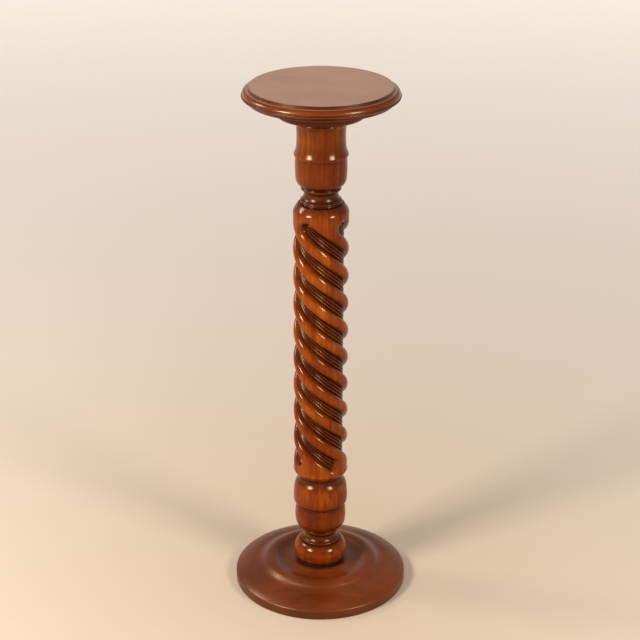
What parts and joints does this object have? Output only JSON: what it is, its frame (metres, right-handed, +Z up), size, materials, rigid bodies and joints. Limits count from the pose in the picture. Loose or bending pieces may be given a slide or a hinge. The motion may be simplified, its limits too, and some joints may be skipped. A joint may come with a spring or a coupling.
{
  "type": "barley twist pedestal",
  "caption": "Tall turned wooden pedestal with a carved rope-twist column, a broad round base and a small round top that holds a vase, plant or lamp.",
  "frame": {"origin": "centre of the base's underside, on the floor and on the axis of the column", "axes": "+Z up along the column's axis, from the base to the top; X and Y are level and alike but for the twist"},
  "size_m": [0.3316, 0.3316, 1],
  "materials": {
    "base_wood": "satin red-brown mahogany varnish",
    "column_wood": "glossy red-brown mahogany varnish, darker in the grooves",
    "collar_wood": "glossy dark mahogany varnish",
    "top_wood": "semi-gloss mahogany varnish"
  },
  "bodies": {
    "root": {"base": "base_wood", "column": "column_wood", "top_collar": "collar_wood", "top": "top_wood"}
  },
  "joints": []
}
